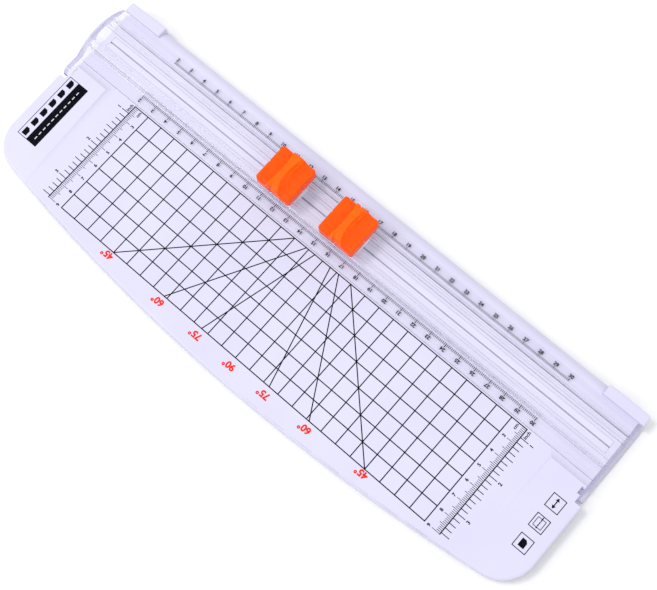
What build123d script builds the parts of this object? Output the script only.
from build123d import *

import os
from math import atan2, cos, degrees, sin, tan

# A sliding paper trimmer for A4 sheets: a printed base, a clear hinged rail and two cutters that
# slide on the rail and are pressed down to cut.
#
# Frame, in millimetres: X runs along the cutting line, +Y goes from the paper table to the rail,
# +Z is up. The origin is the middle of the footprint, at the underside of the feet.
#
# Heights on the rail and the cutters are given above the paper surface, as "above paper".

# ---- base -------------------------------------------------------------------------------------
base_length = 372.0
base_depth = 130.0
paper_z = 12.0  # paper surface above the table it stands on
foot_height = 1.5  # how far the feet hold the rim off the table
front_corner_radius = 20.0
rear_corner_radius = 1.2
rear_half_length = 184.5  # behind the notches the base is a little shorter than in front
bow_depth = 13.0  # how far the bowed front edge bulges over a span of two bow_half_span
bow_half_span = 170.0
rim_fillet = 1.5
wall = 2.2
lap = 1.0  # how far a cutting shape reaches past what it cuts

# Raised ends, beside the paper. Their tops fall gently towards the front edge.
end_rise = 2.0  # above the paper surface, beside the rail
end_top_y = 15.5  # where the raised end starts to fall towards the rail
end_foot_y = 20.5
end_fade_y = -60.0  # where its top would meet the paper surface
guide_top_x = 158.7  # upper edge of the step that the paper lies against
guide_foot_x = 154.5

# Rear edge: two raised blocks and the finger recess between them.
rear_block_y = 58.6
rear_block_x = 158.3
finger_drop = 3.5
finger_lip = 0.9  # width of the recess's rounded back edge
block_fillet = 0.8

# ---- cutting line and its strip -----------------------------------------------------------------
cut_y = 39.0
strip_half_length = 178.0
strip_width = 8.0
strip_depth = 2.5
groove_width = 0.9
groove_depth = 1.6
strip_play = 0.1

# Underside: ribs, bosses round the feet, and a beam under the strip.
rib_width = 1.8
rib_rows = (-24.0, 4.0, 26.0)
rib_pitch = 62.0
rib_columns = 5
rib_bottom = 3.0
beam_margin = 2.0
beam_bottom = 7.0
back_wall = 2.0
seat_surround = 0.6

# ---- rail ---------------------------------------------------------------------------------------
rail_half_length = 185.2
end_wall = 3.4
paper_gap = 0.3  # between the paper surface and the closed rail
flange_half = 19.0
flange_top = 1.8  # above paper
hat_half = 11.35
hat_top = 9.8  # above paper
rail_wall = 1.5
slot_half = 3.7
lip_rib_inner = 5.9
lip_rib_outer = 7.1
lip_rib_bottom = 5.5  # above paper
arch_top = 10.0  # above paper
arch_offset = 0.5  # the arch's highest point is this far behind the cutting line
wall_drop = 2.0  # how far the end walls reach below the paper surface
wall_drop_front = 8.0  # from the cutting line to where their lower edge turns towards the ear
hat_fillet = 1.2
flange_fillet = 0.5

# ---- hinge --------------------------------------------------------------------------------------
pivot_y = 12.0
pivot_z = 10.9
ear_radius = 4.4
pin_radius = 1.8
pin_length = 3.7
bore_radius = 1.85
notch_face_x = 181.5
notch_front_y = 5.5
notch_floor_z = 5.0
seat_depth = 3.9
seat_open_depth = 1.9  # the outer half of the seat, open to the top
seat_lead = 0.4  # how much wider the seat's mouth is on each side
seat_throat = 0.3  # where the mouth starts above the bore
notch_length = 10.0

# ---- cutters ------------------------------------------------------------------------------------
cutter_centres = {"a": -41.8, "b": 2.4}
press_travel = 1.5
cap_half = 11.75
cap_wall = 1.2
cap_bottom = 12.8  # above paper
cap_roof = 18.9  # above paper: underside of the roof
cap_shoulder = 20.7  # above paper: the thumb scoops and the rim
cap_top = 23.2  # above paper: the ridge
ridge_waist = 1.7  # half the ridge's width in the middle
ridge_end = 3.6  # half the ridge's width at the front and the back
ridge_foot = 1.9  # how far each flank reaches out at the scoops
mark_width = 1.2  # index marks down the middle of each side
cap_corner = 1.6
cap_rim_fillet = 0.8
stem_half_length = 4.2
stem_half_width = 1.9
stem_bottom = 3.0  # above paper
slide_play = 0.3
shoe_half_length = 11.0
shoe_half_width = 5.6
shoe_bottom = 5.0  # above paper
shoe_plate_top = 8.0  # above paper
neck_half_length = 9.5
neck_half_width = 3.4
saddle_bottom = 10.1  # above paper
saddle_top = 11.4  # above paper
saddle_half_length = 9.9
saddle_half_width = 9.9
saddle_corner = 1.5
shoe_corner = 1.0
spring_offset = 6.9  # from the middle of the cutter, along the rail
spring_pocket_radius = 1.95
spring_pocket_floor = 6.2  # above paper
spring_radius = 1.45  # to the middle of the wire
spring_wire = 0.45
spring_turns = 8
spigot_radius = 0.9
spigot_length = 1.5
retainer_height = 8.6  # above paper
retainer_radius = 0.75
retainer_half_length = 3.2
retainer_play = 0.3
retainer_chamfer = 0.15
blade_thickness = 0.4
blade_half_length = 3.6
blade_top = 6.6  # above paper
blade_shoulder = 3.4  # above paper
blade_tip = 0.6  # above paper
blade_tip_half = 0.25
screw_height = 5.2  # above paper
screw_radius = 0.8
screw_head_radius = 1.4
screw_head_height = 0.8
screw_slot_width = 0.6
screw_slot_depth = 0.2
fit_play = 0.05  # round the blade, the screw and the springs
pin_play = 0.02  # round the retaining pin and the blade

half_length = base_length / 2
half_depth = base_depth / 2
end_wall_x = rail_half_length - end_wall

foot_radius = 5.0
foot_thickness = 2.5
foot_fillet = 0.6
foot_play = 0.1
foot_boss = 2.0  # plastic round each foot
foot_places = {
    "foot_front_left": (-156.0, -36.0),
    "foot_front_middle": (0.0, -49.0),
    "foot_front_right": (156.0, -36.0),
    "foot_rear_left": (-156.0, 50.0),
    "foot_rear_middle": (0.0, 50.0),
    "foot_rear_right": (156.0, 50.0),
}


def save(piece, label):
    """Names a finished piece and writes it to its own file."""
    piece.part.label = label
    export_step(piece.part, f"parts/{label}.step")


# ---- base ---------------------------------------------------------------------------------------


def table_outline():
    """Plan view of the base: straight back and sides, a bowed front, rounded corners."""
    bow_radius = (bow_half_span**2 + bow_depth**2) / (2 * bow_depth)
    corner_y = -half_depth + bow_radius - (bow_radius**2 - half_length**2) ** 0.5
    with BuildSketch() as outline:
        with BuildLine():
            Polyline(
                (-half_length, corner_y),
                (-half_length, half_depth),
                (half_length, half_depth),
                (half_length, corner_y),
            )
            ThreePointArc((half_length, corner_y), (0, -half_depth), (-half_length, corner_y))
        make_face()
        fillet(outline.vertices().group_by(Axis.Y)[0], front_corner_radius)
        fillet(outline.vertices().group_by(Axis.Y)[-1], rear_corner_radius)
    return outline.sketch


def concave_step(foot, run, low, high):
    """Section of the space beside a step: flat at the foot, then curving up over run, then open."""
    rise_radius = (run**2 + end_rise**2) / (2 * end_rise)
    climb = 2 * atan2(end_rise, abs(run))
    middle = climb / 2
    away = -1 if run > 0 else 1
    half_way = (
        foot - away * rise_radius * sin(middle),
        paper_z + rise_radius * (1 - cos(middle)),
    )
    top = (foot + run, paper_z + end_rise)
    lip = (top[0] - away * (high - top[1]) / tan(climb), high)
    far = foot + away * half_length
    with BuildSketch() as space:
        with BuildLine():
            ThreePointArc((foot, paper_z), half_way, top)
            Polyline(top, lip, (far, high), (far, low), (foot, low), (foot, paper_z))
        make_face()
    return space.sketch


def raised_ends():
    """The two raised ends: a tapering top, a sloped guide step and a fall towards the rail."""
    top_z = paper_z + end_rise
    fall = end_rise / (end_top_y - end_fade_y)
    front_z = top_z - fall * (end_top_y + half_depth)
    rear_z = top_z + fall * (half_depth - end_top_y)
    base_z = paper_z - end_rise
    crest_z = rear_z + lap
    with BuildPart() as ends:
        with BuildSketch(Plane.XY.offset(foot_height)):
            add(table_outline())
        extrude(amount=rear_z - foot_height)
        with BuildSketch(Plane.YZ):
            Polygon(
                (-half_depth - lap, front_z - fall * lap),
                (half_depth + lap, rear_z + fall * lap),
                (half_depth + lap, crest_z),
                (-half_depth - lap, crest_z),
                align=None,
            )
        extrude(amount=half_length + lap, both=True, mode=Mode.SUBTRACT)
        top = ends.faces().sort_by(Axis.Z)[-1]
        fillet(top.edges(), rim_fillet)
        # The middle is left open for the paper, up to a concave step at each side.
        with BuildSketch(Plane.XZ):
            for side in (-1, 1):
                run = side * (guide_top_x - guide_foot_x)
                add(concave_step(side * guide_foot_x, run, base_z, crest_z))
        extrude(amount=half_depth + lap, both=True, mode=Mode.SUBTRACT)
        # Behind end_top_y the top falls away, so that the rail lies at the paper's level.
        with BuildSketch(Plane.YZ):
            add(concave_step(end_foot_y, end_top_y - end_foot_y, base_z, crest_z))
        extrude(amount=half_length + lap, both=True, mode=Mode.SUBTRACT)
        # Below base_z the base itself takes over.
        with Locations((0, 0, base_z - half_depth)):
            Box(base_length + 2 * lap, base_depth + 2 * lap, base_depth, mode=Mode.SUBTRACT)
    return ends.part


def rear_blocks():
    """Two raised blocks at the back corners, either side of the finger recess."""
    block_length = rear_half_length - rear_block_x
    block_depth = half_depth - rear_block_y
    with BuildPart() as blocks:
        with BuildSketch(Plane.XY.offset(foot_height)) as plan:
            middle_y = rear_block_y + block_depth / 2
            for side in (-1, 1):
                with Locations((side * (rear_block_x + block_length / 2), middle_y)):
                    Rectangle(block_length, block_depth)
            back = plan.vertices().group_by(Axis.Y)[-1].sort_by(Axis.X)
            fillet([back[0], back[-1]], rear_corner_radius)
        extrude(amount=paper_z + end_rise - foot_height)
        fillet(blocks.faces().group_by(Axis.Z)[-1].edges(), block_fillet)
    return blocks.part


def underside_hollow(rib_gap, keep_strip_beam):
    """Plan of the space below the paper surface, with ribs, foot bosses and ends kept solid."""
    seat_depth_all = half_length - notch_face_x + seat_depth + seat_surround
    with BuildSketch() as hollow:
        add(table_outline())
        offset(amount=-wall, kind=Kind.INTERSECTION)
        # The back edge, under the finger recess, stays solid.
        with Locations((0, half_depth)):
            Rectangle(base_length, 2 * (half_depth - rear_block_y + back_wall), mode=Mode.SUBTRACT)
        # The hinge seats and the notches for the rail's ends stay solid.
        for side in (-1, 1):
            with Locations((side * half_length, (notch_front_y + half_depth) / 2)):
                Rectangle(
                    2 * seat_depth_all,
                    half_depth - notch_front_y + 2 * wall,
                    mode=Mode.SUBTRACT,
                )
        with Locations(*foot_places.values()):
            Circle(foot_radius + foot_boss, mode=Mode.SUBTRACT)
        if rib_gap:
            for rib_y in rib_rows:
                with Locations((0, rib_y)):
                    Rectangle(base_length, rib_width, mode=Mode.SUBTRACT)
            with GridLocations(rib_pitch, base_depth, rib_columns, 1):
                Rectangle(rib_width, base_depth, mode=Mode.SUBTRACT)
        if keep_strip_beam:
            with Locations((0, cut_y)):
                Rectangle(base_length, strip_width + 2 * beam_margin, mode=Mode.SUBTRACT)
    return hollow.sketch


def base_plate():
    """White moulding: printed paper table, raised ends, strip channel, hinge seats, hollow below."""
    roof = paper_z - wall
    recess_front = rear_block_y + block_fillet
    recess_lip = (half_depth - finger_lip, paper_z - finger_drop)
    with BuildPart() as plate:
        with BuildSketch(Plane.XY.offset(foot_height)):
            add(table_outline())
        extrude(amount=paper_z - foot_height)
        fillet(plate.faces().sort_by(Axis.Z)[-1].edges(), rim_fillet)
        add(raised_ends())
        # The sides step in behind the front end of the notches.
        for side in (-1, 1):
            side_x = side * (rear_half_length + notch_length / 2)
            with Locations((side_x, notch_front_y + half_depth, paper_z)):
                Box(notch_length, 2 * half_depth, 4 * paper_z, mode=Mode.SUBTRACT)
        # Finger recess along the back edge.
        with BuildSketch(Plane.YZ):
            with BuildLine():
                Spline((recess_front, paper_z), recess_lip, tangents=((1, -0.1), (0.6, -1)))
                Polyline(
                    recess_lip,
                    (half_depth + lap, paper_z - 2 * finger_drop),
                    (half_depth + lap, paper_z + finger_drop),
                    (recess_front, paper_z + finger_drop),
                    (recess_front, paper_z),
                )
            make_face()
        extrude(amount=rear_block_x, both=True, mode=Mode.SUBTRACT)
        add(rear_blocks())
        # Channel for the cutting strip.
        with Locations((0, cut_y, paper_z)):
            Box(2 * strip_half_length, strip_width, 2 * strip_depth, mode=Mode.SUBTRACT)
        # Notches for the rail's end walls and ears.
        for side in (-1, 1):
            notch_x = side * (notch_face_x + notch_length / 2)
            notch_y = (notch_front_y + rear_block_y) / 2
            with Locations((notch_x, notch_y, notch_floor_z + paper_z / 2)):
                Box(notch_length, rear_block_y - notch_front_y, paper_z, mode=Mode.SUBTRACT)
        # Hinge seats: a bore, whose outer half is open to the top and inner half to the bottom.
        for side in (-1, 1):
            seat_middle = side * (notch_face_x - seat_depth / 2)
            with Locations(Location((seat_middle, pivot_y, pivot_z), (0, 90, 0))):
                Cylinder(bore_radius, seat_depth, mode=Mode.SUBTRACT)
            open_middle = side * (notch_face_x - seat_open_depth / 2)
            with Locations((open_middle, pivot_y, pivot_z + pivot_z / 2)):
                Box(seat_open_depth, 2 * bore_radius, pivot_z, mode=Mode.SUBTRACT)
            mouth_z = pivot_z + bore_radius + seat_throat
            with Locations((open_middle, pivot_y, mouth_z + pivot_z / 2)):
                Box(seat_open_depth, 2 * (bore_radius + seat_lead), pivot_z, mode=Mode.SUBTRACT)
            closed_middle = side * (notch_face_x - (seat_depth + seat_open_depth) / 2)
            with Locations((closed_middle, pivot_y, pivot_z / 2)):
                Box(seat_depth - seat_open_depth, 2 * bore_radius, pivot_z, mode=Mode.SUBTRACT)
        # Hollow underside, in three depths: to the ribs' lower edge, to the beam, to the roof.
        with BuildSketch(Plane.XY.offset(foot_height)):
            add(underside_hollow(rib_gap=False, keep_strip_beam=False))
        extrude(amount=rib_bottom - foot_height, mode=Mode.SUBTRACT)
        with BuildSketch(Plane.XY.offset(rib_bottom)):
            add(underside_hollow(rib_gap=True, keep_strip_beam=False))
        extrude(amount=beam_bottom - rib_bottom, mode=Mode.SUBTRACT)
        with BuildSketch(Plane.XY.offset(beam_bottom)):
            add(underside_hollow(rib_gap=True, keep_strip_beam=True))
        extrude(amount=roof - beam_bottom, mode=Mode.SUBTRACT)
        # Shallow seats for the feet.
        with BuildSketch(Plane.XY.offset(foot_height)):
            with Locations(*foot_places.values()):
                Circle(foot_radius + foot_play)
        extrude(amount=foot_thickness - foot_height, mode=Mode.SUBTRACT)
    save(plate, "base_plate")


def cutting_strip():
    """Plastic strip let into the paper surface, with the groove that the blade runs in."""
    with BuildPart() as strip:
        with Locations((0, cut_y, paper_z - strip_depth / 2)):
            Box(2 * (strip_half_length - strip_play), strip_width - 2 * strip_play, strip_depth)
        with Locations((0, cut_y, paper_z)):
            Box(2 * strip_half_length, groove_width, 2 * groove_depth, mode=Mode.SUBTRACT)
    save(strip, "cutting_strip")


def foot(label, place):
    """Round rubber foot, let into its seat."""
    with BuildPart() as pad:
        with Locations((*place, 0)):
            Cylinder(foot_radius, foot_thickness, align=(Align.CENTER, Align.CENTER, Align.MIN))
        fillet(pad.edges().group_by(Axis.Z)[0], foot_fillet)
    save(pad, label)


# ---- rail ---------------------------------------------------------------------------------------


def rail_half_section(side):
    """Section of one long side of the rail: flange, outer wall, lip and the lip's guiding rib."""
    with BuildSketch() as section:
        with BuildLine():
            Polyline(
                (cut_y + side * flange_half, paper_z + paper_gap),
                (cut_y + side * (hat_half - rail_wall), paper_z + paper_gap),
                (cut_y + side * (hat_half - rail_wall), paper_z + hat_top - rail_wall),
                (cut_y + side * lip_rib_outer, paper_z + hat_top - rail_wall),
                (cut_y + side * lip_rib_outer, paper_z + lip_rib_bottom),
                (cut_y + side * lip_rib_inner, paper_z + lip_rib_bottom),
                (cut_y + side * lip_rib_inner, paper_z + hat_top - rail_wall),
                (cut_y + side * slot_half, paper_z + hat_top - rail_wall),
                (cut_y + side * slot_half, paper_z + hat_top),
                (cut_y + side * hat_half, paper_z + hat_top),
                (cut_y + side * hat_half, paper_z + flange_top),
                (cut_y + side * flange_half, paper_z + flange_top),
                close=True,
            )
        make_face()
        hat_corner = (cut_y + side * hat_half, paper_z + hat_top)
        flange_corner = (cut_y + side * flange_half, paper_z + flange_top)
        wall_foot = (cut_y + side * hat_half, paper_z + flange_top)
        fillet(section.vertices().sort_by_distance(hat_corner)[0], hat_fillet)
        fillet(section.vertices().sort_by_distance(flange_corner)[0], flange_fillet)
        fillet(section.vertices().sort_by_distance(wall_foot)[0], flange_fillet)
    return section.sketch


def end_wall_outline():
    """Side view of an end wall: the arch over the rail and the ear around the pivot."""
    ear_top = pivot_z + ear_radius
    ear_bottom = pivot_z - ear_radius
    with BuildSketch() as outline:
        with BuildLine():
            ThreePointArc(
                (pivot_y, ear_bottom),
                (pivot_y - ear_radius, pivot_z),
                (pivot_y, ear_top),
            )
            Line((pivot_y, ear_top), (cut_y - flange_half, ear_top))
            ThreePointArc(
                (cut_y - flange_half, ear_top),
                (cut_y + arch_offset, paper_z + arch_top),
                (cut_y + flange_half, paper_z + flange_top),
            )
            Polyline(
                (cut_y + flange_half, paper_z + flange_top),
                (cut_y + flange_half, paper_z - wall_drop),
                (cut_y - wall_drop_front, ear_bottom),
                (pivot_y, ear_bottom),
            )
        make_face()
    return outline.sketch


def rail_arm():
    """Clear moulding: two flanges, a slotted hat section, end walls with ears and hinge pins."""
    with BuildPart() as rail:
        with BuildSketch(Plane.YZ):
            add(rail_half_section(-1))
            add(rail_half_section(1))
        extrude(amount=end_wall_x, both=True)
        for side in (-1, 1):
            with BuildSketch(Plane.YZ.offset(side * end_wall_x)):
                add(end_wall_outline())
            extrude(amount=side * end_wall)
            pin_middle = (side * (end_wall_x - pin_length / 2), pivot_y, pivot_z)
            with Locations(Location(pin_middle, (0, 90, 0))):
                Cylinder(pin_radius, pin_length)
    save(rail, "rail_arm")


# ---- cutters ------------------------------------------------------------------------------------


def ridge_outline():
    """Plan of the ridge on a cap: waisted, from the front edge to the back."""
    end_half = ridge_end + ridge_foot
    waist_half = ridge_waist + ridge_foot
    with BuildSketch() as outline:
        with BuildLine():
            ThreePointArc((end_half, -cap_half), (waist_half, 0), (end_half, cap_half))
            Line((end_half, cap_half), (-end_half, cap_half))
            ThreePointArc((-end_half, cap_half), (-waist_half, 0), (-end_half, -cap_half))
            Line((-end_half, -cap_half), (end_half, -cap_half))
        make_face()
    return outline.sketch


def cap(name, x):
    """Press-down cap: a shell above the rail, with a waisted ridge, two scoops and the stem."""
    z = paper_z
    flank = degrees(atan2(ridge_foot, cap_top - cap_shoulder))
    with BuildPart() as shell:
        with Locations((x, cut_y, z + cap_bottom)):
            Box(
                2 * cap_half,
                2 * cap_half,
                cap_shoulder - cap_bottom,
                align=(Align.CENTER, Align.CENTER, Align.MIN),
            )
        fillet(shell.edges().filter_by(Axis.Z), cap_corner)
        fillet(shell.faces().sort_by(Axis.Z)[-1].edges(), cap_rim_fillet)
        with BuildSketch(Plane((x, cut_y, z + cap_roof))):
            add(ridge_outline())
        extrude(amount=cap_shoulder - cap_roof)
        with BuildSketch(Plane((x, cut_y, z + cap_shoulder))):
            add(ridge_outline())
        extrude(amount=cap_top - cap_shoulder, taper=flank)
        # Index marks down the middle of each side.
        for turn in range(4):
            mark_place = Location((x, cut_y, z), (0, 0, 90 * turn)) * Location((cap_half, 0, 0), (0, 0, 45))
            with Locations(mark_place):
                Box(mark_width / 2**0.5, mark_width / 2**0.5, 4 * cap_top, mode=Mode.SUBTRACT)
        # Hollow over the saddle.
        with Locations((x, cut_y, z)):
            Box(
                2 * (cap_half - cap_wall),
                2 * (cap_half - cap_wall),
                2 * cap_roof,
                mode=Mode.SUBTRACT,
            )
        # Stem with the blade's slot, and the spigots that hold the springs.
        with Locations((x, cut_y, z + stem_bottom)):
            Box(
                2 * stem_half_length,
                2 * stem_half_width,
                cap_roof - stem_bottom,
                align=(Align.CENTER, Align.CENTER, Align.MIN),
            )
        for side in (-1, 1):
            with Locations((x + side * spring_offset, cut_y, z + cap_roof)):
                Cylinder(spigot_radius, 2 * spigot_length)
        with Locations((x, cut_y, z + stem_bottom)):
            Box(
                2 * blade_half_length,
                blade_thickness,
                2 * (blade_top - stem_bottom),
                mode=Mode.SUBTRACT,
            )
        with Locations(Location((x, cut_y, z + retainer_height), (90, 0, 0))):
            Cylinder(retainer_radius, 4 * stem_half_width, mode=Mode.SUBTRACT)
        with Locations(Location((x, cut_y, z + screw_height), (90, 0, 0))):
            Cylinder(screw_radius, 4 * stem_half_width, mode=Mode.SUBTRACT)
        head_y = cut_y - stem_half_width + screw_head_height / 2
        with Locations(Location((x, head_y, z + screw_height), (90, 0, 0))):
            Cylinder(screw_head_radius, screw_head_height, mode=Mode.SUBTRACT)
    save(shell, f"cutter_{name}_cap")


def shoe(name, x):
    """Runner below the rail's lips, with a neck up through the slot and pockets for the springs."""
    z = paper_z
    with BuildPart() as runner:
        with Locations((x, cut_y, z + (shoe_bottom + shoe_plate_top) / 2)):
            Box(2 * shoe_half_length, 2 * shoe_half_width, shoe_plate_top - shoe_bottom)
        fillet(runner.edges().filter_by(Axis.Z), shoe_corner)
        with Locations((x, cut_y, z + (shoe_bottom + saddle_top) / 2)):
            Box(2 * neck_half_length, 2 * neck_half_width, saddle_top - shoe_bottom)
        with Locations((x, cut_y, z + (shoe_bottom + saddle_top) / 2)):
            Box(
                2 * (stem_half_length + slide_play),
                2 * (stem_half_width + slide_play),
                saddle_top,
                mode=Mode.SUBTRACT,
            )
        for side in (-1, 1):
            with Locations((x + side * spring_offset, cut_y, z + spring_pocket_floor)):
                Cylinder(
                    spring_pocket_radius,
                    saddle_top,
                    align=(Align.CENTER, Align.CENTER, Align.MIN),
                    mode=Mode.SUBTRACT,
                )
        # Slot for the retaining pin: its top stops the cap, its length lets the cap travel.
        slot_top = retainer_height + retainer_radius + fit_play
        slot_bottom = retainer_height - press_travel - retainer_radius - retainer_play
        with Locations((x, cut_y, z + (slot_top + slot_bottom) / 2)):
            Box(
                2 * (retainer_radius + retainer_play),
                4 * neck_half_width,
                slot_top - slot_bottom,
                mode=Mode.SUBTRACT,
            )
    save(runner, f"cutter_{name}_shoe")


def saddle(name, x):
    """Frame on top of the rail's lips, pressed onto the shoe's neck."""
    with BuildPart() as frame:
        with Locations((x, cut_y, paper_z + (saddle_bottom + saddle_top) / 2)):
            Box(2 * saddle_half_length, 2 * saddle_half_width, saddle_top - saddle_bottom)
            Box(
                2 * neck_half_length,
                2 * neck_half_width,
                saddle_top,
                mode=Mode.SUBTRACT,
            )
        fillet(frame.edges().filter_by(Axis.Z).group_by(Axis.Y)[0], saddle_corner)
        fillet(frame.edges().filter_by(Axis.Z).group_by(Axis.Y)[-1], saddle_corner)
    save(frame, f"cutter_{name}_saddle")


def blade(name, x):
    """Thin steel blade with a symmetrical point, so that it cuts both ways."""
    half = blade_half_length - fit_play
    top = paper_z + blade_top - fit_play
    with BuildPart() as steel:
        with BuildSketch(Plane.XZ.offset(-cut_y)):
            Polygon(
                (x - half, top),
                (x - half, paper_z + blade_shoulder),
                (x - blade_tip_half, paper_z + blade_tip),
                (x + blade_tip_half, paper_z + blade_tip),
                (x + half, paper_z + blade_shoulder),
                (x + half, top),
                align=None,
            )
        extrude(amount=blade_thickness / 2 - pin_play, both=True)
        with Locations(Location((x, cut_y, paper_z + screw_height), (90, 0, 0))):
            Cylinder(screw_radius + fit_play, 4 * blade_thickness, mode=Mode.SUBTRACT)
    save(steel, f"cutter_{name}_blade")


def blade_screw(name, x):
    """Small screw through the stem that clamps the blade."""
    z = paper_z + screw_height
    front_y = cut_y - stem_half_width
    with BuildPart() as screw:
        with Locations(Location((x, front_y + screw_head_height / 2, z), (90, 0, 0))):
            Cylinder(screw_head_radius - fit_play, screw_head_height)
        with Locations(Location((x, cut_y, z), (90, 0, 0))):
            Cylinder(screw_radius - pin_play, 2 * stem_half_width)
        with Locations((x, front_y, z)):
            Box(screw_head_radius * 1.5, 2 * screw_slot_depth, screw_slot_width, mode=Mode.SUBTRACT)
    save(screw, f"cutter_{name}_blade_screw")


def retaining_pin(name, x):
    """Steel pin through the stem that keeps the cap on the shoe."""
    with BuildPart() as pin:
        with Locations(Location((x, cut_y, paper_z + retainer_height), (90, 0, 0))):
            Cylinder(retainer_radius - pin_play, 2 * retainer_half_length)
        chamfer(pin.edges().filter_by(GeomType.CIRCLE), retainer_chamfer)
    save(pin, f"cutter_{name}_retaining_pin")


def spring(name, x, side, label):
    """Compression spring between the shoe's pocket and the cap's roof."""
    bottom = paper_z + spring_pocket_floor + spring_wire / 2 + pin_play
    top = paper_z + cap_roof - spring_wire / 2 - pin_play
    with BuildPart() as coil:
        with BuildLine(Location((x + side * spring_offset, cut_y, bottom))):
            wire = Helix((top - bottom) / spring_turns, top - bottom, spring_radius)
        with BuildSketch(Plane(origin=wire @ 0, z_dir=wire % 0)):
            Circle(spring_wire / 2)
        sweep(path=wire, is_frenet=True)
    save(coil, f"cutter_{name}_{label}")


os.makedirs("parts", exist_ok=True)
base_plate()
cutting_strip()
for foot_label, foot_place in foot_places.items():
    foot(foot_label, foot_place)
rail_arm()
for cutter, centre in cutter_centres.items():
    cap(cutter, centre)
    shoe(cutter, centre)
    saddle(cutter, centre)
    blade(cutter, centre)
    blade_screw(cutter, centre)
    retaining_pin(cutter, centre)
    spring(cutter, centre, -1, "spring_left")
    spring(cutter, centre, 1, "spring_right")
